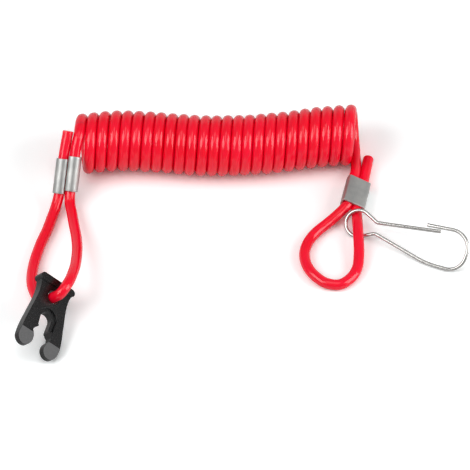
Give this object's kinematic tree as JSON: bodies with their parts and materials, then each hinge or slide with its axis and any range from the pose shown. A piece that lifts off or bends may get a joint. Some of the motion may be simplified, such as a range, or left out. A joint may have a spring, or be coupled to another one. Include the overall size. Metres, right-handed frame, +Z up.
{
  "type": "stop switch lanyard",
  "caption": "Coiled red safety tether with a crimped loop at each end, one carrying a black fork clip for a stop switch and the other a bent-wire snap hook",
  "frame": {"origin": "centre of the underside of the box round the clip, the two crimps and the hook as they lie on the table (the free cord is left out of that box)", "axes": "+X runs along the coil from the clip's end to the hook's end, which is the part's longest extent; +Z is up from the table; -Y points to the viewer of the picture"},
  "size_m": [0.2164, 0.1467, 0.03],
  "materials": {
    "cord": "glossy red polyurethane cord, slightly translucent at its edges",
    "crimp": "dull grey plated steel strip with fine rolling lines",
    "clip": "moulded black plastic with a low sheen on its edges",
    "wire": "bright nickel-plated spring wire"
  },
  "bodies": {
    "tether": {"coil": "cord", "clip_loop": "cord", "clip_crimp": "crimp"},
    "clip": {"stop_clip": "clip"},
    "hook_end": {"hook_loop": "cord", "hook_crimp": "crimp"},
    "hook": {"snap_hook": "wire"}
  },
  "joints": [
    {"name": "coil_stretch", "type": "slide", "parent": "tether", "child": "hook_end", "axis": [1, 0, 0], "range_m": [0, 1], "stiffness_N_per_m": 8, "deforming": ["coil"]},
    {"name": "clip_swing", "type": "hinge", "parent": "tether", "child": "clip", "pos_m": [-0.0914, -0.027, 0.0124], "axis": [0.6283, -0.2247, 0.7448], "range_deg": [-60, 20]},
    {"name": "hook_swing", "type": "hinge", "parent": "hook_end", "child": "hook", "pos_m": [0.05535, 0.02575, 0.00495], "axis": [0.0315, -0.9968, 0.0734], "range_deg": [-60, 120]}
  ]
}
